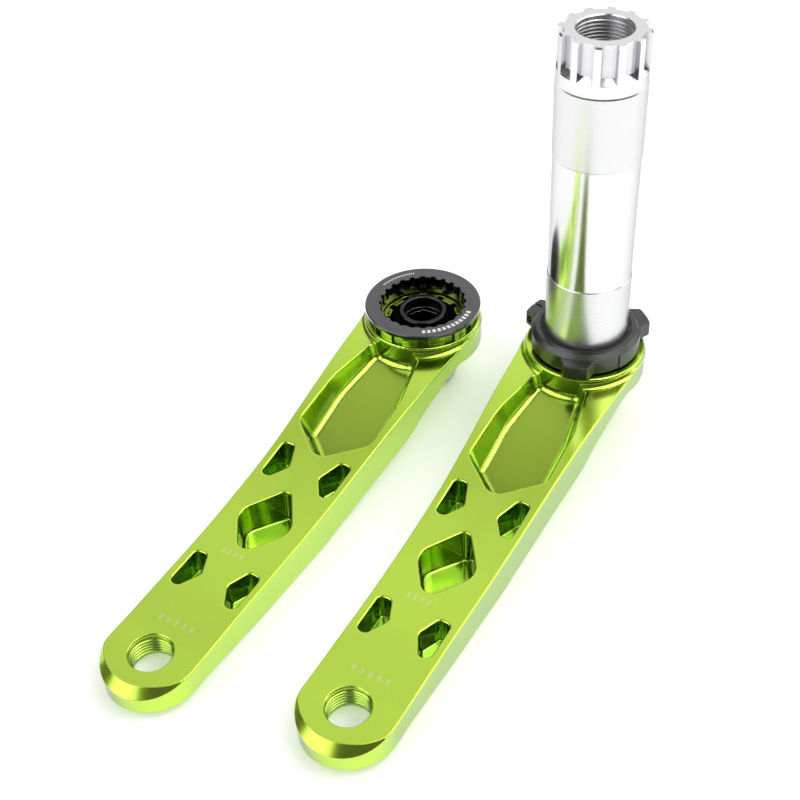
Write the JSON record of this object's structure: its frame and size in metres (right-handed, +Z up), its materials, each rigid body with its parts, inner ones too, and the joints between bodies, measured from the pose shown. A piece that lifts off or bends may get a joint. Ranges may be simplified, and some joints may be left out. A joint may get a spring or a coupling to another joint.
{
  "type": "bicycle crankset",
  "caption": "Two-piece bicycle crankset: pocketed forged arms, one carrying a hollow splined spindle with a preload ring, the other a chainring lockring.",
  "frame": {"origin": "middle of the footprint, at the level both arms rest on", "axes": "+Z up along every turning axis, +Y from the pedal ends to the hubs (the arms' long direction), +X from the drive-side arm to the spindle-side arm"},
  "size_m": [0.1066, 0.22, 0.1528],
  "materials": {
    "anodised_arm": "bright green anodised, satin",
    "spindle_metal": "turned, satin",
    "dark_ring": "charcoal anodised",
    "lock_metal": "dark grey anodised, satin",
    "black_bolt": "black anodised",
    "seal_rubber": "matt",
    "washer_plastic": "matt",
    "screw_steel": "black oxide"
  },
  "bodies": {
    "spindle_side": {"spindle_arm": "anodised_arm", "spindle": "spindle_metal", "spindle_bolt_washer": "washer_plastic"},
    "spindle_side_bolt": {"spindle_bolt": "black_bolt"},
    "ring_carrier": {"preload_seal": "seal_rubber"},
    "adjuster": {"preload_ring": "dark_ring"},
    "clamp_screw": {"preload_pinch_screw": "screw_steel"},
    "drive_side": {"drive_arm": "anodised_arm", "crank_bolt_washer": "washer_plastic"},
    "lockring": {"chainring_lockring": "lock_metal"},
    "drive_side_bolt": {"crank_bolt": "black_bolt"},
    "extractor": {"puller_cap": "black_bolt", "puller_cap_washer": "washer_plastic"}
  },
  "joints": [
    {"name": "drive_side_lift", "type": "slide", "parent": "spindle_side", "child": "drive_side", "axis": [0, 0, 1], "range_m": [0, 0.16]},
    {"name": "lockring_turn", "type": "hinge", "parent": "drive_side", "child": "lockring", "pos_m": [-0.0309, 0.07599, 0.032], "axis": [0, 0, 1], "continuous": true},
    {"name": "crank_bolt_turn", "type": "hinge", "parent": "drive_side", "child": "drive_side_bolt", "pos_m": [-0.0309, 0.07599, 0.012], "axis": [0, 0, 1], "continuous": true},
    {"name": "puller_cap_turn", "type": "hinge", "parent": "drive_side", "child": "extractor", "pos_m": [-0.0309, 0.07599, 0.003], "axis": [0, 0, 1], "continuous": true},
    {"name": "spindle_bolt_turn", "type": "hinge", "parent": "spindle_side", "child": "spindle_side_bolt", "pos_m": [0.0309, 0.08759, 0.012], "axis": [0, 0, 1], "continuous": true},
    {"name": "ring_travel", "type": "slide", "parent": "spindle_side", "child": "ring_carrier", "axis": [0, 0, 1], "range_m": [0, 0.003]},
    {"name": "ring_turn", "type": "hinge", "parent": "ring_carrier", "child": "adjuster", "pos_m": [0.0309, 0.08759, 0.032], "axis": [0, 0, 1], "range_deg": [0, 720]},
    {"name": "pinch_screw_turn", "type": "hinge", "parent": "adjuster", "child": "clamp_screw", "pos_m": [0.00943, 0.09137, 0.0328], "axis": [-0.1736, -0.9848, 0], "range_deg": [0, 720]}
  ],
  "couplings": [
    {"joint": "ring_travel", "follows": "ring_turn", "m_per_rad": 0.00023873}
  ]
}
